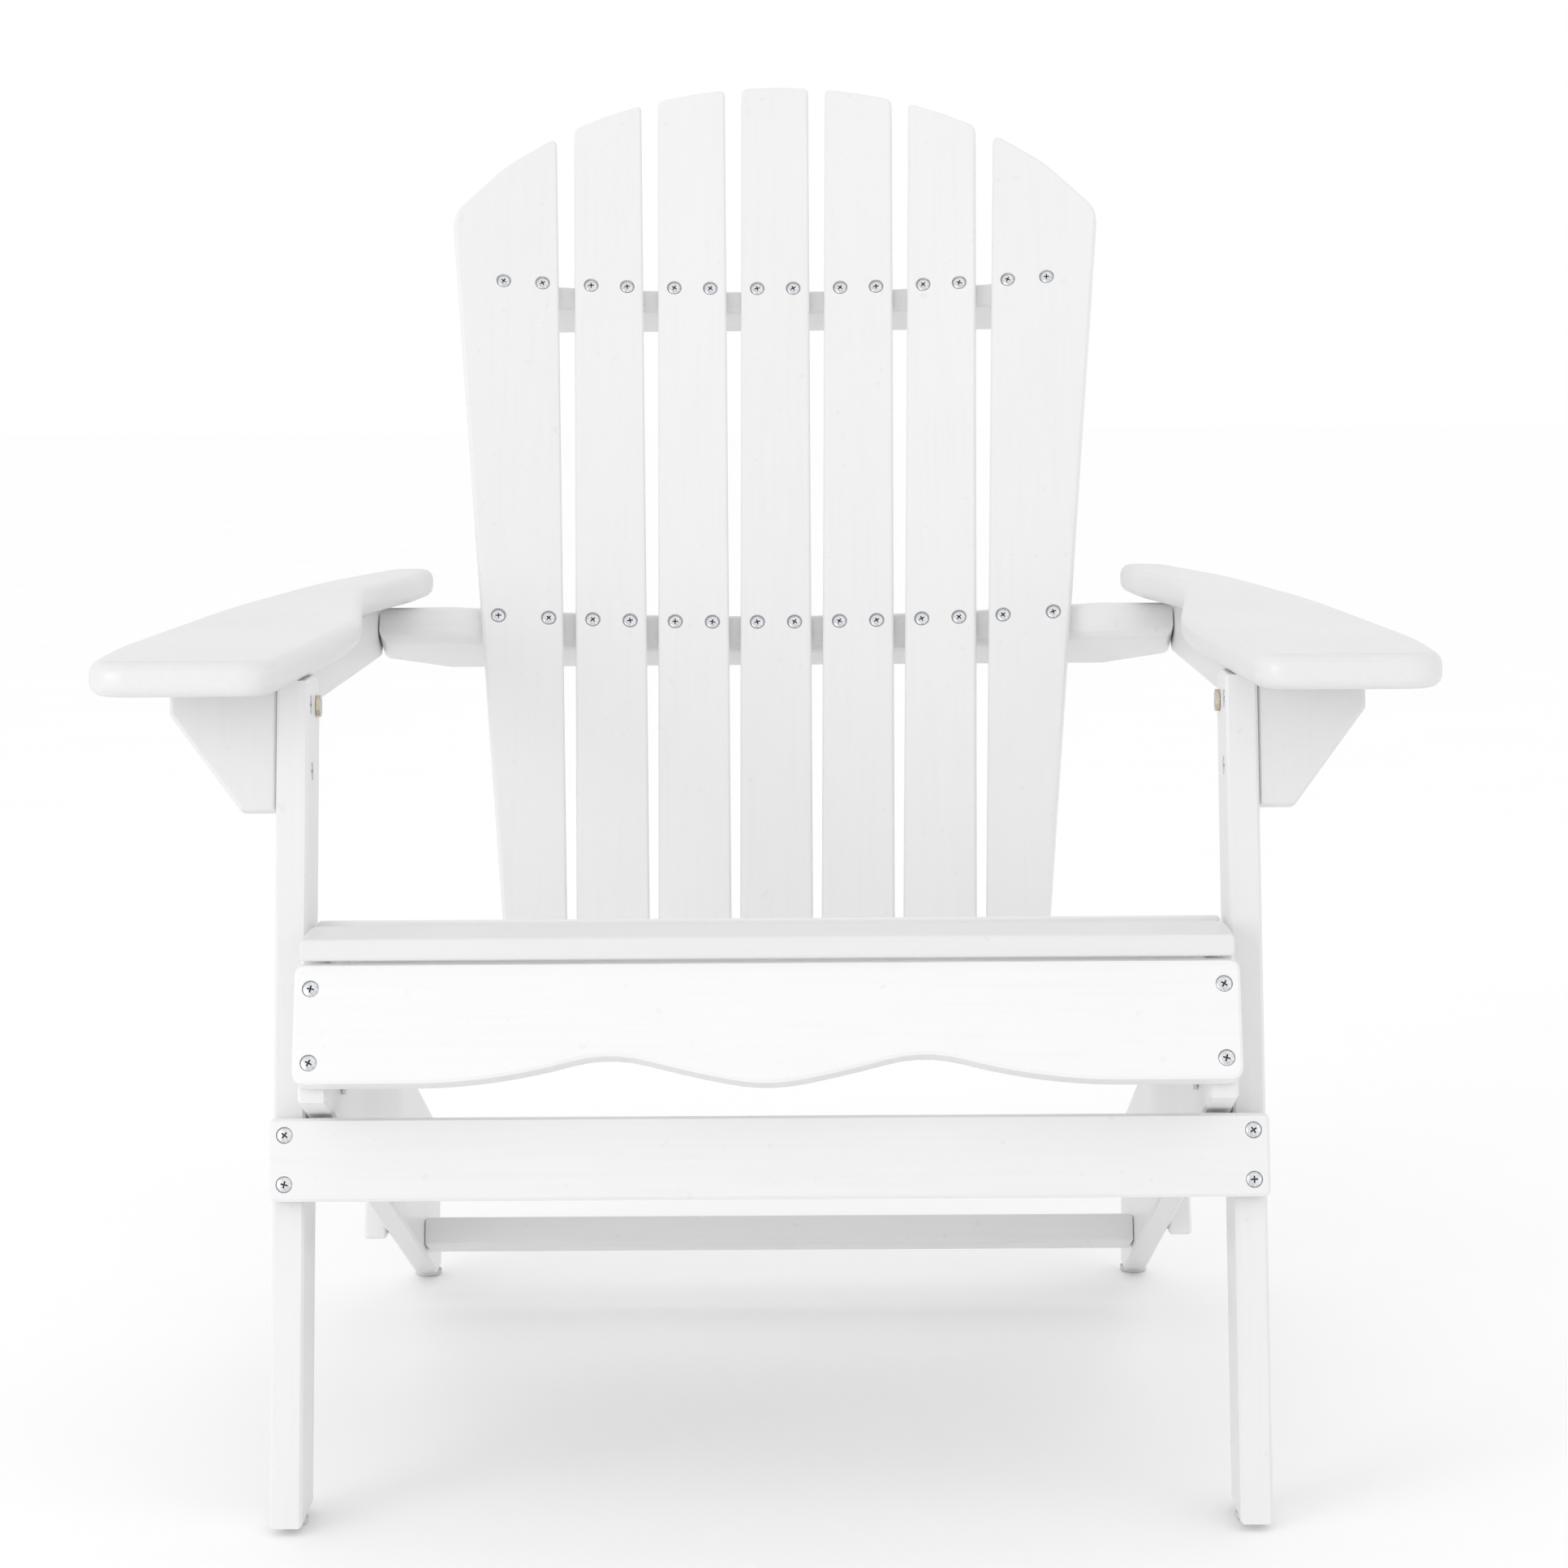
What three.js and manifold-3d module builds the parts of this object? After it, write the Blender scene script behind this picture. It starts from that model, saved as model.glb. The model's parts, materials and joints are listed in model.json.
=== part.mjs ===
// A folding adirondack chair in painted wood: a fanned slat back, paddle arms, a raked seat and raked front legs.
// Millimetres, +Z up, the front towards -Y. Places are worked out from the floor under the front feet.
// The back turns on the seat frame, the legs turn under the seat frame, and the arms join legs and back.
import * as THREE from "three";
import { mergeVertices } from "three/addons/utils/BufferGeometryUtils.js";
import Module from "manifold-3d";

const wasm = await Module();
wasm.setup();

const { sin, cos, tan, sqrt, acos, PI } = Math;
const rad = THREE.MathUtils.degToRad;

// ---- Driving dimensions ----
const gap = 0.3; // between pieces that touch
const boltPlay = 0.3; // round a bolt or a screw
const edgeRound = 1.6; // of the eased edges of boards

// Front legs: boards that lean back as they rise.
const legSpan = 554; // over the outer faces of both legs
const legThickness = 18;
const legDepth = 50;
const legLean = rad(12.8);
const armPivotHeight = 448;
const armPivotInset = 14.5; // from the back edge of the leg

// Stretcher across the front of the legs.
const stretcherHeight = 46;
const stretcherThickness = 18;
const stretcherRise = 184; // of its lower edge, along the leg
const stretcherScrewRow = 13.6; // each side of its middle line
const stretcherCorner = 4;

// Seat frame: two raked stringers with a board across their front ends.
const seatSlope = rad(21.7);
const stringerWidth = 102;
const stringerThickness = 16;
const stringerToLeg = 1.5; // side play
const stringerFoot = 25.4; // of its end past where its lower edge comes down
const seatPivotUp = 24; // of the seat pivot above the stringer's lower edge
const apronHeight = 67;
const apronThickness = 18;
const apronFaceAt = 5; // of the middle line of its face, back from the front feet
const apronFaceDrop = 46; // of that line below the seat's top
const apronTop = 35; // above that middle line
const apronOverhang = 1; // past the stringers, each end
const apronArch = 11.5; // rise of each arch in its lower edge
const apronArchInset = 86.5; // of the arched stretch from each end
const apronCorner = 7;
const apronScrewRow = 20.6; // each side of the middle line of its face
const rearRailHeight = 20;
const rearRailDepth = 28;
const rearRailAhead = 99.2; // along the stringer, of where its lower edge comes down
const rearRailUp = 4; // above the stringer's lower edge

// Seat slats.
const seatSlatThickness = 12.5;
const seatSlatShort = 2; // of each end inside the stringer's outer face
const levelCut = 91.6; // back from the front feet, of the level cut under the front slat
const frontSlatAt = 15;
const frontSlatWidth = 51.5;
const seatSlatCorner = 8;
const rakedSlats = 5;
const rakedSlatWidth = 50;
const seatToBack = 102.8; // of the last raked slat from the middle back slat, along the stringer

// Back: slats on three rails, on a shallow curve with the middle slat furthest back.
const backLean = rad(27.9);
const backFaceAt = 624.8; // of the middle slat's face at the back's own zero height, back from the front feet
const backFaceUp = 1; // of that height above the arm pivot
const curveSpread = 6.3976; // of the curve's radius, to the outer slats' outer edge at zero height
const backSlatThickness = 12;
const slatGap = 7.8; // between inner slats, at the back's own zero height
const innerSlats = 5;
const slatFan = 0.0098; // growth of the pitch along the back
const outerSlatGap = 8.2; // between the outer slats and their neighbours, at zero height
const outerSlatWidth = 55.9; // at zero height
const outerSlatInnerFlare = 0.03;
const backToLegs = 73.8; // of the outer slats' outer edge inside the legs' outer faces, at zero height
const outerSlatOuterFlare = 0.0905;
const archSpread = 1.4616; // of the arch's radius, to the outer slats' outer edge
const archTop = 446; // along the back
const archShoulderDrop = 2.8; // of the outer slats' outer corner below the arch
const slatBelowRail = 34; // of the slats' lower ends, below the middle of the bottom rail
const slatCorner = 5;
const outerSlatCorner = 9;
const railToSlats = 0.8; // behind the slats' curve, for flat slats on a curved rail
const upperRailHeight = 18.3;
const upperRailDepth = 29; // at the middle
const upperRailAt = 272.7; // along the back
const upperRailShort = 12.9; // of each end inside the slats' outer edge
const crossRailHeight = 28;
const crossRailDepth = 35; // at the middle
const crossRailAt = 12.2; // along the back
const crossRailRound = 8;
const crossRailShoulder = 50.7; // of each end left out of its hollowed front
const crossRailEndFront = 6; // of its ends, ahead of the middle slat's face
const crossRailEndBack = -30;
const crossRailEndRun = 46; // of the stretch where its back comes forward
const bottomRailHeight = 28;
const bottomRailDepth = 25; // at the middle
const bottomRailUp = 102.6; // of its middle above the back pivot, along the back
const bottomRailShoulder = 77.5; // of each end left out of its hollowed front
const backPivotBehind = 30.2; // of the back pivot behind the middle slat's face
const cleatThickness = 15;
const cleatWidth = 50;
const cleatFoot = 41; // of its level lower end below the back pivot
const cleatTop = 18; // past the middle of the bottom rail, along the back

// Arms: paddles that rise a little to the rear, on a rail each.
const armTilt = rad(1.1);
const armThickness = 19.5;
const armRound = 7;
const armUnderUp = 16; // of its underside above the arm pivot's height, at the place below
const armUndersideAt = 20;
const armRailThickness = 18;
const armRailDrop = 11; // of its lower edge below the arm pivot
const armRailChamfer = 8; // ahead of the arm pivot, where its nose meets the arm
// The arm's outline in plan: out from the leg's outer face, back from the front feet, length of the corner's round.
const armPlan = [
  [-10, 12, 21],
  [92.5, 12, 24],
  [93.5, 110, 40],
  [82.5, 236, 50],
  [68.5, 386, 60],
  [38, 570, 40],
  [13, 655, 22],
  [-1, 694, 16],
  [-34, 698, 16],
  [-26, 620, 24],
  [-3, 520, 34],
  [-14, 400, 50],
  [-26, 300, 42],
  [-25, 205, 42],
  [-17, 105, 30],
];

// Gussets that carry the arms beside the legs.
const gussetThickness = 17.5;
const gussetInset = 3; // behind the front face of the leg
const gussetReach = 61; // at the top
const gussetFoot = 20; // at the bottom
const gussetDrop = 74;
const gussetLip = 19; // of its upright outer end

// Hardware.
const glideRadius = 9.3;
const glideHeight = 4;
const glideRound = 1.2;
const boltRadius = 3.9;
const boltHeadRadius = 7;
const boltHeadHeight = 1.6;
const nutRadius = 6.3;
const nutHeight = 2.2;
const screwHeadRadius = 4.4;
const screwHeadHeight = 2.6;
const screwSunk = 0.4; // of the head below the board's face
const screwRadius = 2.1;
const screwLength = 40;
const screwInset = 9; // from the ends of the board it holds

const cornerSteps = 5;
const roundSides = 20;

// ---- Materials ----
const paint = (shade) =>
  new THREE.MeshStandardMaterial({ color: shade, roughness: 0.4, metalness: 0 });
const metal = (shade) =>
  new THREE.MeshStandardMaterial({ color: shade, roughness: 0.3, metalness: 1 });
const frameShade = 0xefeff1;
const slatShade = 0xf2f2f4;
const steelShade = 0xb9bbbe;
const zincShade = 0xc9a35a;
const plasticShade = 0xd6d6d8;

// ---- Derived places: side views are (y back, z up) ----
const legOuter = legSpan / 2;
const legInner = legOuter - legThickness;
const stringerOuter = legInner - stringerToLeg;
const stringerInner = stringerOuter - stringerThickness;
const armRailInner = legOuter + gap;
const footLevel = glideHeight + gap;

const leaning = (lean, y, z) => (along, behind) => ({
  y: y + along * sin(lean) + behind * cos(lean),
  z: z + along * cos(lean) - behind * sin(lean),
});
const onLeg = leaning(legLean, 0, 0);
const backFaceHeight = armPivotHeight + backFaceUp;
const onBack = leaning(backLean, backFaceAt, backFaceHeight);

const armPivotBehind = legDepth - armPivotInset;
const armPivotAlong = (armPivotHeight + armPivotBehind * sin(legLean)) / cos(legLean);
const armPivot = onLeg(armPivotAlong, armPivotBehind);
const armRailBottom = armPivotHeight - armRailDrop;
const armUnderside = armPivotHeight + armUnderUp;
const armUnder = (y) => armUnderside + (y - armUndersideAt) * tan(armTilt);

// The stringers rest on the stretcher's upper back edge.
const stretcherTop = stretcherRise + stretcherHeight;
const restEdge = onLeg(stretcherTop, 0);
const stringerLower = (y) => restEdge.z + gap / cos(seatSlope) - (y - restEdge.y) * tan(seatSlope);
const stringerUpper = (y) => stringerLower(y) + stringerWidth / cos(seatSlope);
const onStringer = (along, up) => ({
  y: along * cos(seatSlope) + up * sin(seatSlope),
  z: stringerLower(0) - along * sin(seatSlope) + up * cos(seatSlope),
});

const stringerDown = (stringerLower(0) - footLevel) / tan(seatSlope);
const stringerEnd = stringerDown + stringerFoot;

// The seat pivot is on the leg's middle line, a set way above the stringer's lower edge.
const middleOfLeg = onLeg(0, legDepth / 2);
const seatPivotAlong =
  (stringerLower(middleOfLeg.y) + seatPivotUp / cos(seatSlope) - middleOfLeg.z) /
  (cos(legLean) + sin(legLean) * tan(seatSlope));
const seatPivot = onLeg(seatPivotAlong, legDepth / 2);

const flatTop = stringerUpper(levelCut);
const seatTop = flatTop + gap + seatSlatThickness;
const apronFaceHeight = seatTop - apronFaceDrop;
const onApron = leaning(seatSlope, apronFaceAt, apronFaceHeight);

// The back's slats share the width that the legs leave.
const outerSlatOuter = legOuter - backToLegs;
const outerSlatInner = outerSlatOuter - outerSlatWidth;
const slatPitch = (outerSlatInner - outerSlatGap + slatGap / 2) / (innerSlats / 2);
const backSlatWidth = slatPitch - slatGap;
const archRadius = outerSlatOuter * archSpread;
const backCurve = outerSlatOuter * curveSpread;
const upperRailHalf = outerSlatOuter + outerSlatOuterFlare * upperRailAt - upperRailShort;
const bow = (x) => backCurve - sqrt(backCurve ** 2 - x ** 2);
const railFront = (x) => bow(x) - backSlatThickness - railToSlats;
const rearPivot = onBack(crossRailAt, -(crossRailEndFront + crossRailEndBack) / 2);
const crossRailHalf = legOuter - gap;
const crossRailScoop = crossRailHalf - crossRailShoulder;
const bottomRailScoop = stringerOuter - bottomRailShoulder;

// The back turns on the stringers' middle line, on a cleat outside each of them.
const stringerMiddle = stringerLower(0) + stringerWidth / 2 / cos(seatSlope);
const behindFace = onBack(0, backPivotBehind);
const backPivotAlong =
  (stringerMiddle - behindFace.z - behindFace.y * tan(seatSlope)) /
  (cos(backLean) + sin(backLean) * tan(seatSlope));
const backPivot = onBack(backPivotAlong, backPivotBehind);
const bottomRailAt = backPivotAlong + bottomRailUp;
const slatBottom = bottomRailAt - slatBelowRail;
const cleatInner = stringerOuter + gap;

// ---- Geometry helpers ----
const chair = new THREE.Group();
const sides = { left: -1, right: 1 };

function add(parent, name, geometry, material) {
  const mesh = new THREE.Mesh(geometry, material);
  mesh.name = name;
  parent.add(mesh);
  return mesh;
}

// A group whose x runs across, y up a leaning face and z forward out of it.
function leaningFrame(lean, y, z) {
  const group = new THREE.Group();
  group.rotation.x = PI / 2 - lean;
  group.position.set(0, y, z);
  chair.add(group);
  return group;
}

// A closed outline from corners: each is x, y and how far from it its round begins.
function outline(corners, shape = new THREE.Shape()) {
  corners.forEach(([x, y, round = 0], i) => {
    const corner = new THREE.Vector2(x, y);
    const toward = ([px, py]) => {
      const way = new THREE.Vector2(px, py).sub(corner);
      return way.setLength(round).add(corner);
    };
    const start = toward(corners.at(i - 1));
    const end = toward(corners[(i + 1) % corners.length]);
    if (i) shape.lineTo(start.x, start.y);
    else shape.moveTo(start.x, start.y);
    if (round) shape.quadraticCurveTo(x, y, end.x, end.y);
  });
  return shape;
}

const rectangle = (x0, y0, x1, y1, round = 0) =>
  outline([
    [x0, y0, round],
    [x1, y0, round],
    [x1, y1, round],
    [x0, y1, round],
  ]);

// A board of an outline, with eased edges, from z = 0 to z = thickness.
function board(shape, thickness, ease = edgeRound, easeSteps = 1) {
  const geometry = new THREE.ExtrudeGeometry(shape, {
    depth: thickness - 2 * ease,
    bevelThickness: ease,
    bevelSize: ease,
    bevelOffset: -ease,
    bevelSegments: easeSteps,
    curveSegments: cornerSteps,
  });
  return geometry.translate(0, 0, ease);
}

// Turns a board's outline from (x, y) into a side view, so that it is extruded along X.
const sideView = new THREE.Matrix4().makeBasis(
  new THREE.Vector3(0, 1, 0),
  new THREE.Vector3(0, 0, 1),
  new THREE.Vector3(1, 0, 0),
);
const sideBoard = (side, inner, shape, thickness) =>
  board(shape, thickness)
    .applyMatrix4(sideView)
    .translate(side > 0 ? inner : -inner - thickness, 0, 0);

function pierce(shape, { y, z }) {
  const hole = new THREE.Path();
  hole.absarc(y, z, boltRadius + boltPlay, 0, 2 * PI, true);
  shape.holes.push(hole);
}

function solid(geometry) {
  const bare = new THREE.BufferGeometry();
  const loose = geometry.index ? geometry.toNonIndexed() : geometry;
  bare.setAttribute("position", loose.getAttribute("position"));
  const merged = mergeVertices(bare, 1e-4);
  return new wasm.Manifold(
    new wasm.Mesh({
      numProp: 3,
      vertProperties: merged.getAttribute("position").array,
      triVerts: new Uint32Array(merged.index.array),
    }),
  );
}

function cut(geometry, tools) {
  const mesh = tools.reduce((body, tool) => body.subtract(solid(tool)), solid(geometry)).getMesh();
  const made = new THREE.BufferGeometry();
  made.setAttribute("position", new THREE.BufferAttribute(mesh.vertProperties, 3));
  made.setIndex(new THREE.BufferAttribute(mesh.triVerts, 1));
  return made;
}

// A turned piece along Z: pairs of radius and height, from its foot up.
function turned(pairs) {
  const points = pairs.map(([r, h]) => new THREE.Vector2(r, h));
  return new THREE.LatheGeometry(points, roundSides).rotateX(PI / 2);
}
const rod = (radius, low, high) =>
  turned([
    [0, low],
    [radius, low],
    [radius, high],
    [0, high],
  ]);

// A headed pin along Z: the head sits on z = 0 and the shank runs down.
const headed = (headRadius, headHeight, radius, length) =>
  turned([
    [0, -length],
    [radius, -length],
    [radius, 0],
    [headRadius, 0],
    [headRadius, headHeight / 2],
    [headRadius * 0.8, headHeight],
    [0, headHeight],
  ]);

// The same pin lies along X, with its head on the outside of a side of the chair.
const alongX = (geometry, side, x, { y, z }) =>
  geometry.rotateY((side * PI) / 2).translate(side * x, y, z);

// ---- Screws through a leaning board's face, and the holes for them ----
const screwHeadSeat = -(screwHeadHeight + screwSunk);
const screw = () => headed(screwHeadRadius, screwHeadHeight, screwRadius, screwLength).translate(0, 0, screwHeadSeat);
const screwHoles = (x, y) => [
  rod(screwHeadRadius + boltPlay, screwHeadSeat - boltPlay, 1).translate(x, y, 0),
  rod(screwRadius + boltPlay, -screwLength - screwHeadHeight - 1, 1).translate(x, y, 0),
];
const placedHoles = (frame, holes) => {
  frame.updateMatrixWorld();
  return holes.flatMap(([x, y]) => screwHoles(x, y).slice(1)).map((hole) => hole.applyMatrix4(frame.matrixWorld));
};

// ---- Seat frame ----
const apronFrame = leaningFrame(seatSlope, apronFaceAt, apronFaceHeight);
const apronHalf = stringerOuter + apronOverhang;
const apronArchHalf = apronHalf - apronArchInset;
const apronScrewX = apronHalf - screwInset;
const apronScrews = Object.entries(sides).flatMap(([side, sign]) => [
  [`apron_screw_${side}_upper`, sign * apronScrewX, apronScrewRow],
  [`apron_screw_${side}_lower`, sign * apronScrewX, -apronScrewRow],
]);

function apronShape() {
  const low = apronTop - apronHeight;
  const high = low + 2 * apronArch;
  const swing = apronArchHalf / 4;
  const half = [
    [apronHalf, low, apronCorner],
    [apronHalf, apronTop, apronCorner],
  ];
  const arches = [-1, 1].flatMap((sign) => {
    const wave = [
      [sign * apronArchHalf, low, swing / 2],
      [sign * (apronArchHalf - swing), low + apronArch / 2, swing / 2],
      [sign * (apronArchHalf / 2), high - apronArch / 2, swing / 2],
      [sign * swing, low + apronArch / 2, swing / 2],
    ];
    return sign < 0 ? wave : wave.reverse();
  });
  return outline([
    [-apronHalf, apronTop, apronCorner],
    [-apronHalf, low, apronCorner],
    ...arches.slice(0, 4),
    [0, low - apronArch / 4, swing / 2],
    ...arches.slice(4),
    ...half,
  ]);
}
const apronBlank = board(apronShape(), apronThickness).translate(0, 0, -apronThickness);
const apronHoles = apronScrews.flatMap(([, x, y]) => screwHoles(x, y));
add(apronFrame, "apron", cut(apronBlank, apronHoles), paint(frameShade));
for (const [name, x, y] of apronScrews) {
  add(apronFrame, name, screw(), metal(steelShade)).position.set(x, y, 0);
}

function stringerShape() {
  const front = onApron(0, apronThickness + gap);
  const frontAt = (z) => front.y + (z - front.z) * tan(seatSlope);
  const lowest = (stringerLower(frontAt(0))) / (1 + tan(seatSlope) ** 2);
  const shape = outline([
    [frontAt(lowest), lowest],
    [stringerDown, footLevel],
    [stringerEnd, footLevel],
    [stringerEnd, stringerUpper(stringerEnd)],
    [levelCut, flatTop],
    [frontAt(flatTop), flatTop],
  ]);
  pierce(shape, seatPivot);
  pierce(shape, backPivot);
  return shape;
}

const seatHalf = stringerOuter - seatSlatShort;
for (const [side, sign] of Object.entries(sides)) {
  const blank = sideBoard(sign, stringerInner, stringerShape(), stringerThickness);
  const mine = apronScrews.filter(([, x]) => x * sign > 0).map(([, x, y]) => [x, y]);
  add(chair, `stringer_${side}`, cut(blank, placedHoles(apronFrame, mine)), paint(frameShade));
  const foot = (stringerInner + stringerOuter) / 2;
  const glide = turned([
    [0, 0],
    [glideRadius - glideRound, 0],
    [glideRadius, glideRound],
    [glideRadius, glideHeight],
    [0, glideHeight],
  ]);
  const rear = stringerEnd - glideRadius - glideRound;
  add(chair, `rear_glide_${side}`, glide, paint(plasticShade)).position.set(sign * foot, rear, 0);
  const front = onLeg(footLevel / cos(legLean), 0).y + legDepth / cos(legLean) / 2;
  const under = sign * (legOuter - legThickness / 2);
  add(chair, `front_glide_${side}`, glide.clone(), paint(plasticShade)).position.set(under, front, 0);
}

const frontSlatShape = outline([
  [-seatHalf, frontSlatAt],
  [seatHalf, frontSlatAt],
  [seatHalf, frontSlatAt + frontSlatWidth, seatSlatCorner],
  [-seatHalf, frontSlatAt + frontSlatWidth, seatSlatCorner],
]);
const frontSlat = board(frontSlatShape, seatSlatThickness);
add(chair, "seat_slat_front", frontSlat, paint(slatShade)).position.z = seatTop - seatSlatThickness;

// The raked slats and the rear rail lie along the stringers.
const rake = new THREE.Group();
rake.rotation.x = -seatSlope;
rake.position.z = stringerLower(0);
chair.add(rake);
const rakeStart = (levelCut + gap - stringerWidth * sin(seatSlope)) / cos(seatSlope);
const aboveSeat = stringerUpper(0) + gap / cos(seatSlope);
const seatMeetsBack =
  (aboveSeat - backFaceHeight - backFaceAt * tan(seatSlope)) /
  (cos(backLean) + sin(backLean) * tan(seatSlope));
const seatEnd = onBack(seatMeetsBack, -backSlatThickness);
const rakeLength = (seatEnd.y - stringerWidth * sin(seatSlope)) / cos(seatSlope) - seatToBack - rakeStart;
const rakedSlatPitch = (rakeLength - rakedSlatWidth) / (rakedSlats - 1);
for (let i = 0; i < rakedSlats; i++) {
  const start = rakeStart + i * rakedSlatPitch;
  const shape = rectangle(-seatHalf, start, seatHalf, start + rakedSlatWidth);
  const slat = add(rake, `seat_slat_${i + 1}`, board(shape, seatSlatThickness), paint(slatShade));
  slat.position.z = stringerWidth + gap;
}
const railHalf = stringerInner - gap;
const rearRailAt = stringerDown / cos(seatSlope) - rearRailAhead;
const rearRailShape = rectangle(-railHalf, rearRailAt, railHalf, rearRailAt + rearRailDepth);
add(rake, "rear_cross_rail", board(rearRailShape, rearRailHeight), paint(frameShade)).position.z = rearRailUp;

// ---- Back ----
const back = leaningFrame(backLean, backFaceAt, backFaceHeight);
const archCentre = archTop - archRadius;
const archAt = (x) => archCentre + sqrt(archRadius ** 2 - x ** 2);

// A flat slat on the curve: its edges are lines in the back's own plane.
function backSlat(name, leftAt, rightAt, topLeft, topRight, topCorner) {
  const middle = (leftAt(0) + rightAt(0)) / 2;
  const crown = (leftAt(topLeft) + rightAt(topRight)) / 2;
  const shape = outline([
    [leftAt(slatBottom) - middle, slatBottom, slatCorner],
    [rightAt(slatBottom) - middle, slatBottom, slatCorner],
    [rightAt(topRight) - middle, topRight, topCorner],
    [crown - middle, archAt(crown), backSlatWidth / 4],
    [leftAt(topLeft) - middle, topLeft, topCorner],
  ]);
  const slat = add(back, name, board(shape, backSlatThickness), paint(slatShade));
  slat.geometry.translate(0, 0, -backSlatThickness);
  slat.rotation.y = -Math.asin(middle / backCurve);
  slat.position.set(middle, 0, bow(middle));
}

// Where an edge that starts at x and flares outwards meets the arch.
function archMeets(x, flare) {
  let along = archTop;
  for (let step = 0; step < roundSides; step++) along = archAt(x + flare * along);
  return along;
}
for (let i = 0; i < innerSlats; i++) {
  const place = i - (innerSlats - 1) / 2;
  const edge = (sign) => (along) => place * (slatPitch + slatFan * along) + (sign * backSlatWidth) / 2;
  const top = (sign) => archMeets(edge(sign)(0), place * slatFan);
  backSlat(`back_slat_${i + 2}`, edge(-1), edge(1), top(-1), top(1), slatCorner);
}
const innerEdge = (along) => outerSlatInner + outerSlatInnerFlare * along;
const outerEdge = (along) => outerSlatOuter + outerSlatOuterFlare * along;
const innerTop = archMeets(outerSlatInner, outerSlatInnerFlare);
const archShoulder = archMeets(outerSlatOuter, outerSlatOuterFlare) - archShoulderDrop;
const mirror = (edge) => (along) => -edge(along);
backSlat("back_slat_1", mirror(outerEdge), mirror(innerEdge), archShoulder, innerTop, outerSlatCorner);
backSlat(`back_slat_${innerSlats + 2}`, innerEdge, outerEdge, innerTop, archShoulder, outerSlatCorner);

// A rail behind the slats: its front follows their curve as far as the scoop goes.
function curvedRail(scoop, height, at, beyond, ease, easeSteps) {
  const shape = new THREE.Shape();
  const sweep = Math.asin(scoop / backCurve);
  const centre = railFront(0) + backCurve;
  shape.moveTo(scoop, railFront(scoop));
  shape.absarc(0, centre, backCurve, sweep - PI / 2, -sweep - PI / 2, true);
  beyond.map(([x, z]) => [-x, z]).forEach(([x, z]) => shape.lineTo(x, z));
  beyond.toReversed().forEach(([x, z]) => shape.lineTo(x, z));
  const rail = board(shape, height, ease, easeSteps);
  return rail.rotateX(PI / 2).translate(0, at + height / 2, 0);
}
const upperRailBack = [[upperRailHalf, railFront(0) - upperRailDepth]];
const upperRail = curvedRail(upperRailHalf, upperRailHeight, upperRailAt, upperRailBack, edgeRound, 1);
add(back, "upper_back_rail", upperRail, paint(frameShade));

const crossRailBack = railFront(0) - crossRailDepth;
const crossRailEnd = [
  [crossRailHalf - crossRailEndRun / 2, crossRailEndFront],
  [crossRailHalf, crossRailEndFront],
  [crossRailHalf, crossRailEndBack],
  [crossRailHalf - crossRailEndRun, crossRailBack],
];
const crossRail = curvedRail(crossRailScoop, crossRailHeight, crossRailAt, crossRailEnd, crossRailRound, 3);
add(back, "crosspiece", crossRail, paint(frameShade));

const bottomRailEnd = [
  [stringerOuter, railFront(bottomRailScoop)],
  [stringerOuter, railFront(0) - bottomRailDepth],
];
const bottomRail = curvedRail(bottomRailScoop, bottomRailHeight, bottomRailAt, bottomRailEnd, edgeRound, 1);
add(back, "bottom_back_rail", bottomRail, paint(frameShade));

// The cleats hang from the bottom rail's ends, outside the stringers, with their lower ends level.
function cleatShape() {
  const level = backPivot.z - cleatFoot;
  const lowEnd = (behind) => (level - backFaceHeight + behind * sin(backLean)) / cos(backLean);
  const edges = [backPivotBehind + cleatWidth / 2, backPivotBehind - cleatWidth / 2];
  const low = edges.map((behind) => onBack(lowEnd(behind), behind));
  const high = edges.map((behind) => onBack(bottomRailAt + cleatTop, behind));
  const shape = outline([low[1], low[0], high[0], high[1]].map(({ y, z }) => [y, z, edgeRound * 4]));
  pierce(shape, backPivot);
  return shape;
}
for (const [side, sign] of Object.entries(sides)) {
  const cleat = sideBoard(sign, cleatInner, cleatShape(), cleatThickness);
  add(chair, `back_cleat_${side}`, cleat, paint(frameShade));
}

// ---- Front legs with their stretcher and gussets ----
const legFace = leaningFrame(legLean, 0, 0);
const stretcherX = legOuter - screwInset;
const stretcherMiddle = stretcherRise + stretcherHeight / 2;
const stretcherScrews = Object.entries(sides).flatMap(([side, sign]) => [
  [`stretcher_screw_${side}_upper`, sign * stretcherX, stretcherMiddle + stretcherScrewRow],
  [`stretcher_screw_${side}_lower`, sign * stretcherX, stretcherMiddle - stretcherScrewRow],
]);
const stretcherShape = rectangle(-legOuter, stretcherRise, legOuter, stretcherTop, stretcherCorner);
const stretcherFace = stretcherThickness + gap;
const stretcherBlank = board(stretcherShape, stretcherThickness).translate(0, 0, gap);
const stretcherHoles = stretcherScrews.flatMap(([, x, y]) => screwHoles(x, y));
for (const hole of stretcherHoles) hole.translate(0, 0, stretcherFace);
add(legFace, "front_stretcher", cut(stretcherBlank, stretcherHoles), paint(frameShade));
for (const [name, x, y] of stretcherScrews) {
  add(legFace, name, screw(), metal(steelShade)).position.set(x, y, stretcherFace);
}

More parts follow.
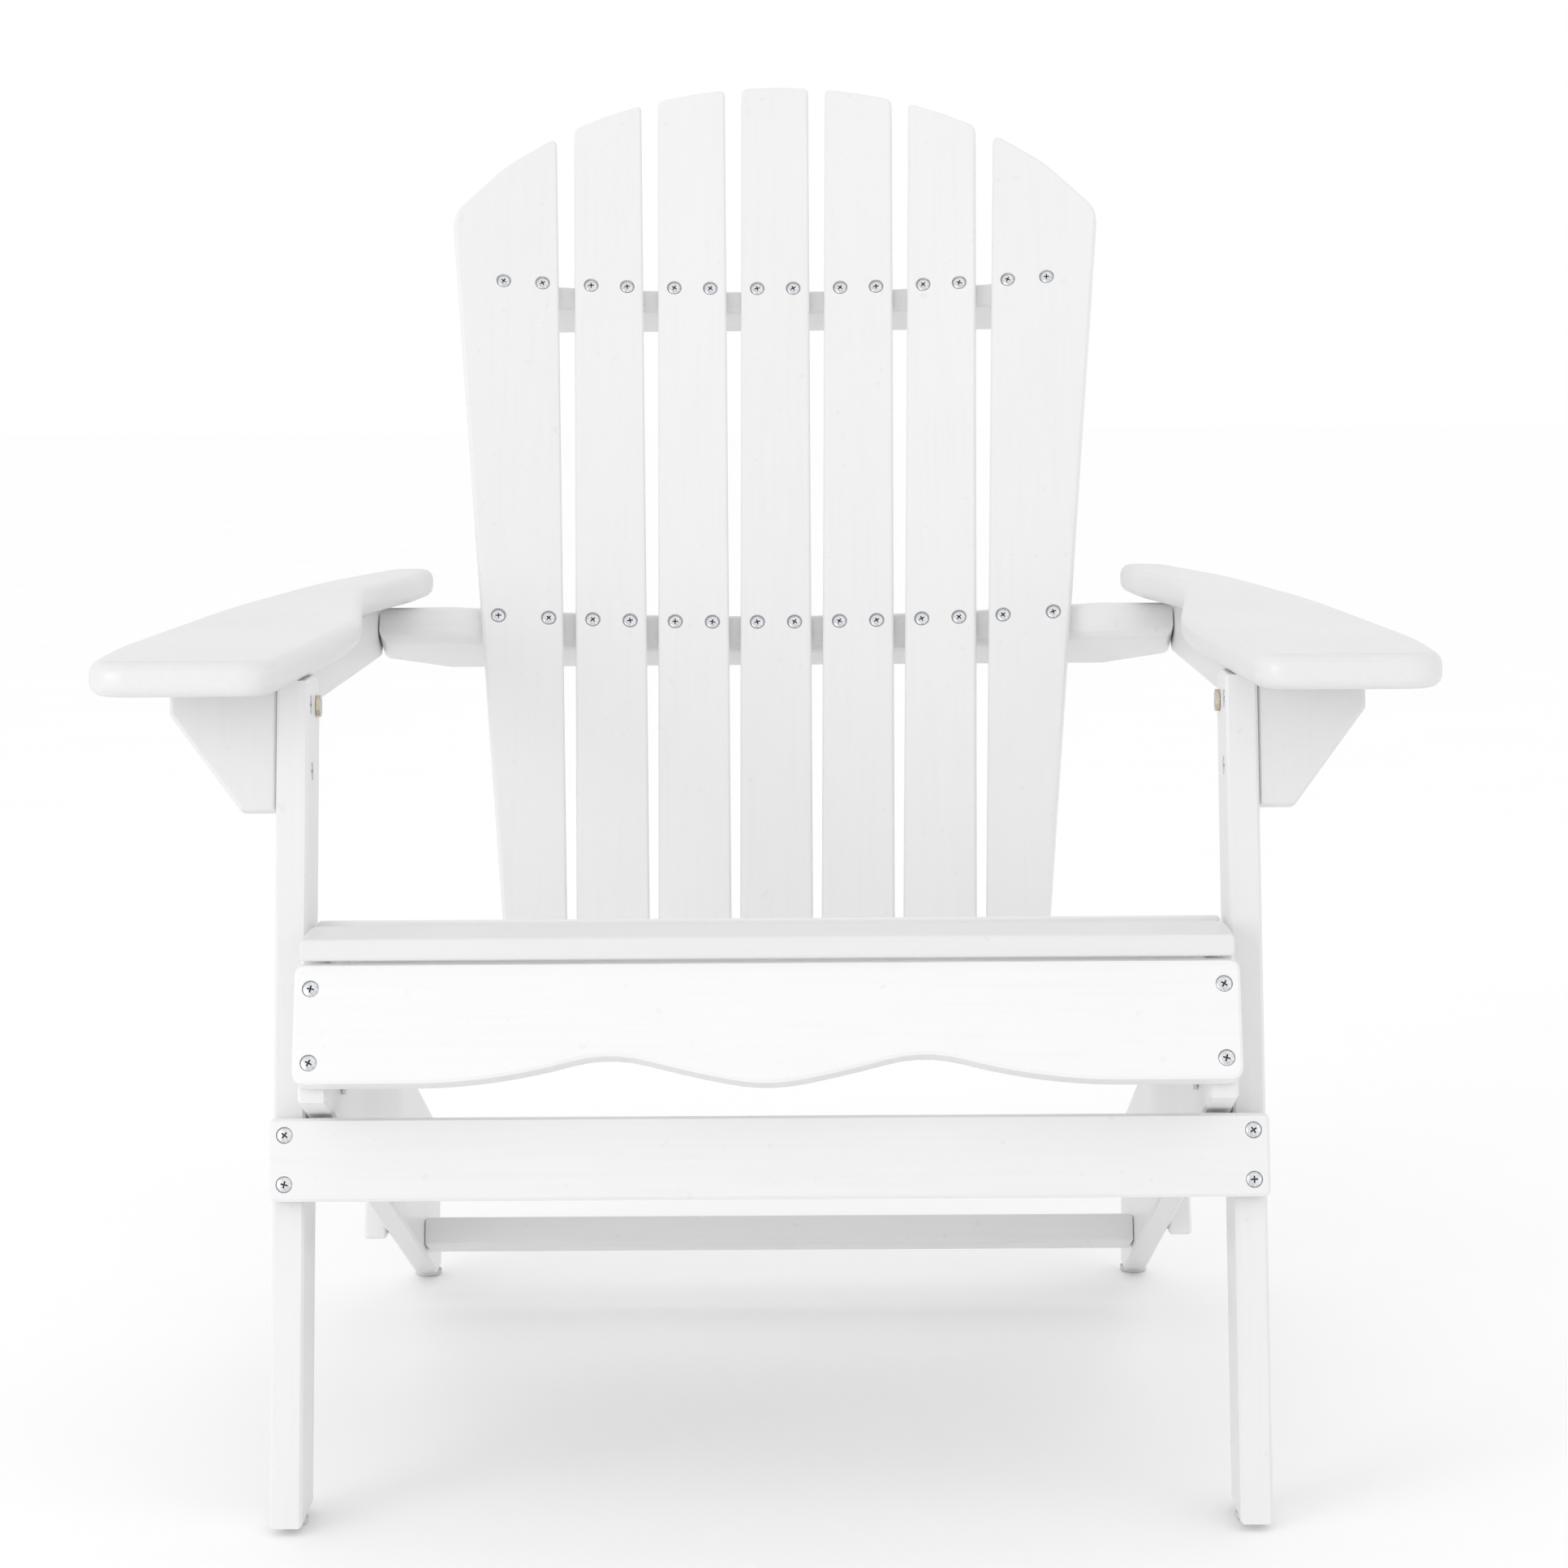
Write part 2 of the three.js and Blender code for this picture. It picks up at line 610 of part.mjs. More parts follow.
// The leg's top follows the arm, and rounds about the arm pivot to clear it.
const legTopRadius = (armUnder(armPivot.y) - armPivot.z) * cos(armTilt) - gap;
function legShape() {
  const low = onLeg(footLevel / cos(legLean), 0);
  const rearLow = onLeg((footLevel + legDepth * sin(legLean)) / cos(legLean), legDepth);
  const slope = tan(armTilt);
  const topZ = (armUnder(0) - gap) / (1 - slope * tan(legLean));
  const shape = new THREE.Shape();
  shape.moveTo(low.y, low.z);
  shape.lineTo(rearLow.y, rearLow.z);
  const from = acos(armPivotInset / legTopRadius) - legLean;
  shape.absarc(armPivot.y, armPivot.z, legTopRadius, from, PI / 2 + armTilt, false);
  shape.lineTo(topZ * tan(legLean), topZ);
  pierce(shape, armPivot);
  pierce(shape, seatPivot);
  return shape;
}

function armRailShape() {
  const nose = armPivot.z - armRailBottom;
  const tail = rearPivot.z - armRailBottom;
  const shape = new THREE.Shape();
  shape.moveTo(armPivot.y, armRailBottom);
  shape.absarc(rearPivot.y, rearPivot.z, tail, -PI / 2, 0, false);
  shape.lineTo(rearPivot.y + tail, armUnder(rearPivot.y + tail) - gap);
  shape.lineTo(armPivot.y - armRailChamfer, armUnder(armPivot.y - armRailChamfer) - gap);
  shape.absarc(armPivot.y, armPivot.z, nose, PI, 1.5 * PI, false);
  pierce(shape, armPivot);
  pierce(shape, rearPivot);
  return shape;
}

const armFrame = new THREE.Group();
armFrame.rotation.x = armTilt;
armFrame.position.set(0, armUndersideAt, armUnderside);
chair.add(armFrame);
const armShape = outline(armPlan.map(([x, y, round]) => [legOuter + x, (y - armUndersideAt) / cos(armTilt), round]));
const armBlank = board(armShape, armThickness, armRound, 3);

const gussetTop = armUnder(onLeg(armPivotAlong, gussetInset).y) / cos(legLean) - 2 * gap;
const gussetTopAlong = gussetTop + gussetInset * tan(legLean);
const gussetShape = outline([
  [0, gussetTopAlong],
  [0, gussetTopAlong - gussetDrop],
  [gussetFoot, gussetTopAlong - gussetDrop],
  [gussetReach, gussetTopAlong - gussetLip],
  [gussetReach, gussetTopAlong],
]);

for (const [side, sign] of Object.entries(sides)) {
  const legBlank = sideBoard(sign, legInner, legShape(), legThickness);
  const mine = stretcherScrews.filter(([, x]) => x * sign > 0).map(([, x, y]) => [x, y]);
  const holes = placedHoles(legFace, mine);
  add(chair, `front_leg_${side}`, cut(legBlank, holes), paint(frameShade));

  const gusset = board(gussetShape, gussetThickness).translate(armRailInner, 0, -gussetInset - gussetThickness);
  add(legFace, `gusset_${side}`, gusset, paint(frameShade)).scale.x = sign;

  const armRail = sideBoard(sign, armRailInner, armRailShape(), armRailThickness);
  add(chair, `arm_rail_${side}`, armRail, paint(frameShade));
  add(armFrame, `arm_${side}`, armBlank.clone(), paint(slatShade)).scale.x = sign;
}

// ---- Pivot bolts and nuts ----
const nut = () =>
  cut(rod(nutRadius, 0, nutHeight), [rod(boltRadius + boltPlay, -1, nutHeight + 1)]);
const armRailOuter = armRailInner + armRailThickness + gap;
for (const [side, sign] of Object.entries(sides)) {
  const bolt = (length) => headed(boltHeadRadius, boltHeadHeight, boltRadius, length);
  const placed = (name, geometry, x, at, shade) =>
    add(chair, `${name}_${side}`, alongX(geometry, sign, x, at), metal(shade));
  const armBoltLength = armRailOuter - legInner + gap + nutHeight;
  placed("arm_bolt", bolt(armBoltLength), armRailOuter, armPivot, steelShade);
  placed("arm_nut", nut(), legInner - gap - nutHeight, armPivot, zincShade);
  placed("rear_bolt", bolt(armRailThickness + gap), armRailOuter, rearPivot, steelShade);
  const seatBoltLength = legOuter + gap - stringerInner + gap + nutHeight;
  placed("seat_bolt", bolt(seatBoltLength), legOuter + gap, seatPivot, steelShade);
  placed("seat_nut", nut(), stringerInner - gap - nutHeight, seatPivot, zincShade);
  const cleatOuter = cleatInner + cleatThickness + gap;
  const backBoltLength = cleatOuter - stringerInner + gap + nutHeight;
  placed("back_bolt", bolt(backBoltLength), cleatOuter, backPivot, steelShade);
  placed("back_nut", nut(), stringerInner - gap - nutHeight, backPivot, zincShade);
}

// The chair's frame is at the bottom centre of its box.
const box = new THREE.Box3().setFromObject(chair);
chair.position.y = -(box.min.y + box.max.y) / 2;

export default chair;
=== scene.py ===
"""The looks of a white folding adirondack chair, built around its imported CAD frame. Metres, +Z up."""

import json
import math
import random

import bmesh
import bpy
from mathutils import Matrix, Vector


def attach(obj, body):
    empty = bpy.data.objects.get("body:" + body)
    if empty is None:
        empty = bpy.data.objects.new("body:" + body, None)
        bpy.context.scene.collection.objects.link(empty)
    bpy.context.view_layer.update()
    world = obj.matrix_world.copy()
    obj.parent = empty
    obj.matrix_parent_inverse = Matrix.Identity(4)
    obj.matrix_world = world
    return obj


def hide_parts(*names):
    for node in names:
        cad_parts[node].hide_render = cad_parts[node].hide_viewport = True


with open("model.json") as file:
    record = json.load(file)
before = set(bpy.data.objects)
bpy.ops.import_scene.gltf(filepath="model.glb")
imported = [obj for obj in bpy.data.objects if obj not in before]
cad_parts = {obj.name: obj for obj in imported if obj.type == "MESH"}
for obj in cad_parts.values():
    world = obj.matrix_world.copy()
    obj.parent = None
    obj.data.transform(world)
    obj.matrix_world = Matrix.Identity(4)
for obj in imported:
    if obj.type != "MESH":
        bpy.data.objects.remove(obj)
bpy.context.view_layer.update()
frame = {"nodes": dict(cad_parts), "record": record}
nodes = frame["nodes"]
rnd = random.Random(7)

# ---- The CAD's own places, in metres ----
SHIFT = -0.4184474  # from the front feet to the middle of the box
LEG_LEAN = math.radians(12.8)
SEAT_SLOPE = math.radians(21.7)
BACK_LEAN = math.radians(27.9)
BACK_FACE = Vector((0, 0.6248 + SHIFT, 0.449))
BACK_CURVE = 1.3
APRON_FACE = Vector((0, 0.005 + SHIFT, 0.285))
LEG_INNER = 0.259  # out to the inner face of each leg
LEG_SCREWS = ((0.114, 0.451), (0.113, 0.413))  # back from the front feet, up
APRON_SCREW_OUT = 0.2495
APRON_SCREW_ROWS = (("upper", 0.0206), ("lower", -0.0206))  # up the apron's face
STRETCHER_SCREW_OUT = 0.268
STRETCHER_SCREW_ROWS = (("upper", 0.2206), ("lower", 0.1934))  # up the legs
STRETCHER_FACE = 0.0183  # forward of the legs
RAKED_SLATS = 5
BACK_SLATS = 7

# ---- Screws and the pockets they sit in ----
HEAD_RADIUS = 0.0046
POCKET_RADIUS = 0.0054
POCKET_DEPTH = 0.0044  # half of it above the board's face
POCKET_SIDES = 28
# The dark cross is painted shade in the screw's recess.
CROSS_REACH = 0.0029  # of the dark cross, out from the head's middle


def leaning(lean, origin):
    """The frame of a leaning face: x across, y up the face, z forward out of it."""
    return Matrix.Translation(origin) @ Matrix.Rotation(math.pi / 2 - lean, 4, "X")


BACK = leaning(BACK_LEAN, BACK_FACE)
LEG_FACE = leaning(LEG_LEAN, Vector((0, SHIFT, 0)))
APRON = leaning(SEAT_SLOPE, APRON_FACE)


def bow(x):
    return BACK_CURVE - math.sqrt(BACK_CURVE**2 - x**2)


# ---- Materials ----
class Nodes:
    """A short way to write a material's nodes."""

    def __init__(self, name):
        self.mat = bpy.data.materials.new(name)
        self.mat.use_nodes = True
        self.tree = self.mat.node_tree
        self.bsdf = self.tree.nodes["Principled BSDF"]

    def add(self, kind, **inputs):
        node = self.tree.nodes.new(kind)
        for key, value in inputs.items():
            if hasattr(node, key) and key not in node.inputs:
                setattr(node, key, value)
            else:
                node.inputs[key].default_value = value
        return node

    def link(self, a, b):
        self.tree.links.new(a, b)

    def ramp(self, source, stops):
        ramp = self.add("ShaderNodeValToRGB")
        ramp.color_ramp.elements[0].position = stops[0][0]
        ramp.color_ramp.elements[1].position = stops[-1][0]
        for i, (at, value) in enumerate(stops):
            if 0 < i < len(stops) - 1:
                ramp.color_ramp.elements.new(at)
        for element, (at, value) in zip(ramp.color_ramp.elements, stops):
            element.position = at
            element.color = value if len(value) == 4 else (*value, 1)
        self.link(source, ramp.inputs["Fac"])
        return ramp.outputs["Color"]


def grey(v):
    return (v, v, v)


def painted_wood(name, along, tone=0.80, seed=0.0):
    """Brushed white paint over planed wood, its grain and brush marks running along a direction."""
    n = Nodes(name)
    place = n.add("ShaderNodeTexCoord").outputs["Object"]
    turn = n.add("ShaderNodeMapping")
    turn.vector_type = "POINT"
    to_x = Vector(along).normalized().rotation_difference(Vector((1, 0, 0))).to_euler()
    turn.inputs["Rotation"].default_value = to_x
    turn.inputs["Location"].default_value = (seed, seed * 0.37, seed * 0.61)
    n.link(place, turn.inputs["Vector"])

    def stretched(scale):
        mapping = n.add("ShaderNodeMapping")
        mapping.inputs["Scale"].default_value = scale
        n.link(turn.outputs["Vector"], mapping.inputs["Vector"])
        return mapping.outputs["Vector"]

    grain = n.add("ShaderNodeTexNoise", Scale=1.0, Detail=6.0, Roughness=0.62, Distortion=0.4)
    n.link(stretched((9, 260, 260)), grain.inputs["Vector"])
    figure = n.add("ShaderNodeTexWave", Scale=1.0, Distortion=6.0, Detail=3.0)
    figure.wave_type = "BANDS"
    figure.bands_direction = "Y"
    n.link(stretched((2.2, 16, 16)), figure.inputs["Vector"])
    brush = n.add("ShaderNodeTexNoise", Scale=1.0, Detail=3.0, Roughness=0.5)
    n.link(stretched((5, 900, 900)), brush.inputs["Vector"])
    peel = n.add("ShaderNodeTexNoise", Scale=420.0, Detail=2.0, Roughness=0.4)
    n.link(place, peel.inputs["Vector"])
    cloud = n.add("ShaderNodeTexNoise", Scale=9.0, Detail=4.0, Roughness=0.6)
    n.link(place, cloud.inputs["Vector"])
    fleck = n.add("ShaderNodeTexNoise", Scale=130.0, Detail=1.0, Roughness=0.5)
    n.link(place, fleck.inputs["Vector"])

    base = n.ramp(cloud.outputs["Fac"], [(0.3, grey(tone * 0.985)), (0.7, (tone, tone, tone * 1.004))])
    grain_tone = n.ramp(grain.outputs["Fac"], [(0.32, grey(0.982)), (0.55, grey(1.0))])
    fleck_tone = n.ramp(fleck.outputs["Fac"], [(0.23, grey(0.93)), (0.27, grey(1.0))])
    first = n.add("ShaderNodeMix", data_type="RGBA", blend_type="MULTIPLY")
    first.inputs["Factor"].default_value = 1.0
    n.link(base, first.inputs["A"])
    n.link(grain_tone, first.inputs["B"])
    second = n.add("ShaderNodeMix", data_type="RGBA", blend_type="MULTIPLY")
    second.inputs["Factor"].default_value = 0.6
    n.link(first.outputs["Result"], second.inputs["A"])
    n.link(fleck_tone, second.inputs["B"])
    n.link(second.outputs["Result"], n.bsdf.inputs["Base Color"])

    shine = n.add("ShaderNodeMapRange")
    shine.inputs["From Min"].default_value = 0.3
    shine.inputs["From Max"].default_value = 0.7
    shine.inputs["To Min"].default_value = 0.30
    shine.inputs["To Max"].default_value = 0.42
    n.link(cloud.outputs["Fac"], shine.inputs["Value"])
    n.link(shine.outputs["Result"], n.bsdf.inputs["Roughness"])

    def bump(height, strength, distance, below=None):
        node = n.add("ShaderNodeBump", Strength=strength, Distance=distance)
        n.link(height, node.inputs["Height"])
        if below:
            n.link(below, node.inputs["Normal"])
        return node.outputs["Normal"]

    surface = bump(figure.outputs["Fac"], 0.06, 0.0004)
    surface = bump(grain.outputs["Fac"], 0.10, 0.0004, surface)
    surface = bump(brush.outputs["Fac"], 0.10, 0.0002, surface)
    surface = bump(peel.outputs["Fac"], 0.10, 0.0002, surface)
    n.link(surface, n.bsdf.inputs["Normal"])
    n.bsdf.inputs["Specular IOR Level"].default_value = 0.5
    n.bsdf.inputs["Coat Weight"].default_value = 0.18
    n.bsdf.inputs["Coat Roughness"].default_value = 0.2
    return n.mat


def metal(name, light, dark, rough=(0.22, 0.42), scale=500.0):
    """Plated metal with fine scratches and slight tarnish."""
    n = Nodes(name)
    place = n.add("ShaderNodeTexCoord").outputs["Object"]
    tarnish = n.add("ShaderNodeTexNoise", Scale=scale, Detail=4.0, Roughness=0.65)
    n.link(place, tarnish.inputs["Vector"])
    scratch = n.add("ShaderNodeTexNoise", Scale=scale * 5, Detail=2.0, Roughness=0.5)
    n.link(place, scratch.inputs["Vector"])
    n.link(n.ramp(tarnish.outputs["Fac"], [(0.35, dark), (0.62, light)]), n.bsdf.inputs["Base Color"])
    shine = n.add("ShaderNodeMapRange")
    shine.inputs["To Min"].default_value = rough[0]
    shine.inputs["To Max"].default_value = rough[1]
    n.link(scratch.outputs["Fac"], shine.inputs["Value"])
    n.link(shine.outputs["Result"], n.bsdf.inputs["Roughness"])
    bump = n.add("ShaderNodeBump", Strength=0.15, Distance=0.00005)
    n.link(scratch.outputs["Fac"], bump.inputs["Height"])
    n.link(bump.outputs["Normal"], n.bsdf.inputs["Normal"])
    n.bsdf.inputs["Metallic"].default_value = 1.0
    return n.mat


def plastic(name, tone):
    n = Nodes(name)
    place = n.add("ShaderNodeTexCoord").outputs["Object"]
    pit = n.add("ShaderNodeTexNoise", Scale=1400.0, Detail=3.0, Roughness=0.6)
    n.link(place, pit.inputs["Vector"])
    pitted = n.ramp(pit.outputs["Fac"], [(0.3, grey(tone * 0.9)), (0.6, grey(tone))])
    n.link(pitted, n.bsdf.inputs["Base Color"])
    bump = n.add("ShaderNodeBump", Strength=0.3, Distance=0.0001)
    n.link(pit.outputs["Fac"], bump.inputs["Height"])
    n.link(bump.outputs["Normal"], n.bsdf.inputs["Normal"])
    n.bsdf.inputs["Roughness"].default_value = 0.55
    return n.mat


ALONG_BACK = BACK.to_3x3() @ Vector((0, 1, 0))
ALONG_LEG = LEG_FACE.to_3x3() @ Vector((0, 1, 0))
ALONG_STRINGER = Vector((0, math.cos(SEAT_SLOPE), -math.sin(SEAT_SLOPE)))
ACROSS = Vector((1, 0, 0))
DEPTH = Vector((0, 1, 0))

screw_metal = metal("zinc_plate", (0.80, 0.81, 0.83, 1), (0.56, 0.57, 0.60, 1))
# The near-black metal on the faces of the cross recess is painted shade; the recess is plated like the rest
# of the head.
recess_shade_metal = metal("recess_painted_shade", (0.16, 0.16, 0.17, 1), (0.08, 0.08, 0.09, 1), (0.5, 0.7))
bolt_metal = metal("bolt_steel", (0.66, 0.67, 0.69, 1), (0.44, 0.45, 0.47, 1))
nut_metal = metal("yellow_zinc", (0.74, 0.68, 0.54, 1), (0.52, 0.46, 0.35, 1))
glide_plastic = plastic("glide_plastic", 0.62)


# ---- Boards: each CAD board again, with its edges worn round and its screw pockets cut ----
def mesh_object(name, bm, materials):
    mesh = bpy.data.meshes.new(name)
    bm.to_mesh(mesh)
    bm.free()
    obj = bpy.data.objects.new(name, mesh)
    bpy.context.scene.collection.objects.link(obj)
    for material in materials:
        mesh.materials.append(material)
    return obj


def applied(obj):
    """The object's mesh with its modifiers applied."""
    bpy.context.view_layer.update()
    graph = bpy.context.evaluated_depsgraph_get()
    mesh = bpy.data.meshes.new_from_object(obj.evaluated_get(graph))
    old = obj.data
    obj.modifiers.clear()
    obj.data = mesh
    mesh.name = old.name
    return obj


def pocket_cutter(places):
    bm = bmesh.new()
    for place in places:
        ring = bmesh.ops.create_cone(
            bm,
            cap_ends=True,
            segments=POCKET_SIDES,
            radius1=POCKET_RADIUS,
            radius2=POCKET_RADIUS,
            depth=POCKET_DEPTH,
        )
        bmesh.ops.transform(bm, matrix=place, verts=ring["verts"])
    cutter = mesh_object("pocket_cutter", bm, [])
    return cutter


def board(node, material, soften=0.0007, pockets=(), sharp=28):
    source = nodes[node]
    bm = bmesh.new()
    bm.from_mesh(source.data)
    bmesh.ops.transform(bm, matrix=source.matrix_world, verts=bm.verts)
    bmesh.ops.remove_doubles(bm, verts=bm.verts, dist=1e-5)
    bmesh.ops.dissolve_limit(bm, angle_limit=math.radians(0.6), verts=bm.verts, edges=bm.edges)
    obj = mesh_object(node + "_wood", bm, [material])
    soft = obj.modifiers.new("soft", "BEVEL")
    soft.width = soften
    soft.segments = 2
    soft.limit_method = "ANGLE"
    soft.angle_limit = math.radians(sharp)
    soft.use_clamp_overlap = True
    applied(obj)
    if pockets:
        cutter = pocket_cutter(pockets)
        hole = obj.modifiers.new("pockets", "BOOLEAN")
        hole.operation = "DIFFERENCE"
        hole.solver = "EXACT"
        hole.object = cutter
        applied(obj)
        bpy.data.objects.remove(cutter)
        obj.data.materials.clear()
        obj.data.materials.append(material)
    for polygon in obj.data.polygons:
        polygon.use_smooth = True
    obj.data.set_sharp_from_angle(angle=math.radians(32))
    weigh = obj.modifiers.new("weigh", "WEIGHTED_NORMAL")
    weigh.keep_sharp = True
    applied(obj)
    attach(obj, body_of_node[node])
    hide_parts(node)
    return obj


record = frame["record"]
body_of_node = {n: b for b, names in record["behaviour"]["bodies"].items() for n in names}
slot_of_node = {s["node"]: s["material_slot"] for s in record["subparts"]}


# ---- Screws: a domed head with a cross recess ----
def screw_mesh():
    bm = bmesh.new()
    profile = [
        (0.0, 0.00075),
        (0.0014, 0.00072),
        (0.0028, 0.00058),
        (0.0038, 0.00036),
        (0.0044, 0.00006),
        (HEAD_RADIUS, -0.0003),
        (0.0040, -0.0010),
        (0.0022, -0.0026),
        (0.0019, -0.0060),
        (0.0, -0.0068),
    ]
    steps = 32
    rings = []
    for r, h in profile:
        if r == 0:
            rings.append([bm.verts.new((0, 0, h))])
            continue
        turn = [2 * math.pi * k / steps for k in range(steps)]
        rings.append([bm.verts.new((r * math.cos(t), r * math.sin(t), h)) for t in turn])
    for a, b in zip(rings, rings[1:]):
        for k in range(steps):
            j = (k + 1) % steps
            if len(a) == 1:
                bm.faces.new((a[0], b[k], b[j]))
            elif len(b) == 1:
                bm.faces.new((a[k], b[0], a[j]))
            else:
                bm.faces.new((a[k], b[k], b[j], a[j]))
    bmesh.ops.recalc_face_normals(bm, faces=bm.faces)
    head = mesh_object("screw_master", bm, [screw_metal])
    cut = bmesh.new()
    for angle in (0, math.pi / 2):
        wing = bmesh.ops.create_cube(cut, size=1)["verts"]
        for v in wing:
            low = v.co.z < 0
            v.co.x *= 0.0022 if low else 0.0050
            v.co.y *= 0.0007 if low else 0.0009
            v.co.z = -0.0011 if low else 0.0016
        bmesh.ops.rotate(cut, verts=wing, cent=(0, 0, 0), matrix=Matrix.Rotation(angle, 3, "Z"))
    cross = mesh_object("cross_cutter", cut, [])
    recess = head.modifiers.new("recess", "BOOLEAN")
    recess.operation = "DIFFERENCE"
    recess.solver = "EXACT"
    recess.use_self = True
    recess.object = cross
    applied(head)
    bpy.data.objects.remove(cross)
    mesh = head.data
    mesh.materials.clear()
    mesh.materials.append(screw_metal)
    mesh.materials.append(recess_shade_metal)
    for polygon in mesh.polygons:
        polygon.use_smooth = True
        middle = polygon.center
        in_cross = math.hypot(middle.x, middle.y) < CROSS_REACH and -0.0015 < middle.z < 0.0004
        # Faces inside the cross recess get the near-black metal, painted shade in the recess.
        polygon.material_index = 1 if in_cross else 0
    mesh.set_sharp_from_angle(angle=math.radians(35))
    bpy.data.objects.remove(head)
    return mesh


screw_data = screw_mesh()


def put_screw(name, place, body, stands_for=None, sunk=0.0008):
    """A screw whose head sits a little below the face that `place` is on."""
    obj = bpy.data.objects.new(name, screw_data)
    bpy.context.scene.collection.objects.link(obj)
    spin = Matrix.Rotation(rnd.uniform(0, math.pi / 2), 4, "Z")
    tilt = Matrix.Rotation(rnd.uniform(-0.04, 0.04), 4, "X")
    obj.matrix_world = place @ Matrix.Translation((0, 0, -sunk)) @ spin @ tilt
    bpy.context.view_layer.update()
    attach(obj, body)
    if stands_for:
        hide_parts(stands_for)
    return obj


def at(matrix, x, y, z=0.0):
    return matrix @ Matrix.Translation((x, y, z))


# ---- Back slats and their screws ----
SLAT_PITCH = 0.0572
SLAT_FAN = 0.0098
UPPER_ROW = 0.277
LOWER_ROW = 0.0134
OUTER_SCREWS = {UPPER_ROW: (0.1675, 0.1955), LOWER_ROW: (0.1580, 0.1930)}
OUTER_MIDDLE = (0.1473 + 0.2032) / 2

back_paint = [painted_wood(f"back_paint_{i}", ALONG_BACK, 0.80 + 0.006 * (i % 3), 1.3 * i) for i in range(3)]


def slat_frame(middle):
    lean = Matrix.Rotation(-math.asin(middle / BACK_CURVE), 4, "Y")
    return BACK @ Matrix.Translation((middle, 0, bow(middle))) @ lean


for i in range(BACK_SLATS):
    sign = -1 if i == 0 else 1
    if i in (0, BACK_SLATS - 1):
        middle = sign * OUTER_MIDDLE
        holes = [(sign * x - middle, y) for y, row in OUTER_SCREWS.items() for x in row]
    else:
        place = i - BACK_SLATS // 2
        middle = place * SLAT_PITCH
        holes = [
            (place * SLAT_FAN * y + s * 0.013, y) for y in (UPPER_ROW, LOWER_ROW) for s in (-1, 1)
        ]
    own = slat_frame(middle)
    places = [at(own, x, y) for x, y in holes]
    board(f"back_slat_{i + 1}", back_paint[i % 3], pockets=places)
    for k, spot in enumerate(places):
        put_screw(f"back_slat_{i + 1}_screw_{k + 1}", spot, "back")

# ---- Rails, seat, arms, legs ----
across_paint = [painted_wood(f"cross_paint_{i}", ACROSS, 0.80, 2.1 * i + 0.7) for i in range(3)]
# The same white paint takes a different tone on some parts as painted light and shade: the apron is made
# lighter (painted light), and the front seat slat, the arms, the legs and the gussets darker (painted
# shade).
arm_paint_shaded = painted_wood("arm_paint_shaded", DEPTH, 0.735, 4.0)
leg_paint_shaded = painted_wood("leg_paint_shaded", ALONG_LEG, 0.775, 5.0)
gusset_paint_shaded = painted_wood("gusset_paint_shaded", ALONG_LEG, 0.74, 5.6)
apron_paint_lit = painted_wood("apron_paint_lit", ACROSS, 0.83, 2.8)
front_slat_paint_shaded = painted_wood("front_slat_paint_shaded", ACROSS, 0.74, 3.3)
stringer_paint = painted_wood("stringer_paint", ALONG_STRINGER, 0.79, 6.0)

for name in ("upper_back_rail", "crosspiece", "bottom_back_rail"):
    board(name, across_paint[0])
board("seat_slat_front", front_slat_paint_shaded, soften=0.0012)
for i in range(RAKED_SLATS):
    board(f"seat_slat_{i + 1}", across_paint[i % 3])
board("rear_cross_rail", across_paint[2])
board("apron", apron_paint_lit)
board("front_stretcher", across_paint[2])

for side, sign in (("left", -1), ("right", 1)):
    board(f"arm_{side}", arm_paint_shaded, soften=0.0004, sharp=40)
    board(f"arm_rail_{side}", arm_paint_shaded)
    board(f"stringer_{side}", stringer_paint)
    inner = Matrix.Translation((sign * LEG_INNER, SHIFT, 0)) @ Matrix.Rotation(-sign * math.pi / 2, 4, "Y")
    spots = [Matrix.Translation((0, y, z)) @ inner for y, z in LEG_SCREWS]
    board(f"front_leg_{side}", leg_paint_shaded, pockets=spots)
    for k, spot in enumerate(spots):
        put_screw(f"leg_{side}_screw_{k + 1}", spot, "legs")
    board(f"gusset_{side}", gusset_paint_shaded)
    board(f"back_cleat_{side}", back_paint[0])
    for row, up in APRON_SCREW_ROWS:
        spot = at(APRON, sign * APRON_SCREW_OUT, up)
        put_screw(f"apron_{side}_{row}_head", spot, "seat", f"apron_screw_{side}_{row}")
    for row, up in STRETCHER_SCREW_ROWS:
        spot = at(LEG_FACE, sign * STRETCHER_SCREW_OUT, up, STRETCHER_FACE)
        put_screw(f"stretcher_{side}_{row}_head", spot, "legs", f"stretcher_screw_{side}_{row}")

# ---- Bolts, nuts and glides keep their CAD shapes; the seat nuts are painted over ----
for name, obj in nodes.items():
    slot = slot_of_node[name]
    kept = {"steel": bolt_metal, "zinc": nut_metal, "glide": glide_plastic}.get(slot)
    if kept and not name.startswith(("apron_screw", "stretcher_screw")):
        for holder in obj.material_slots:
            holder.material = stringer_paint if name.startswith("seat_nut") else kept

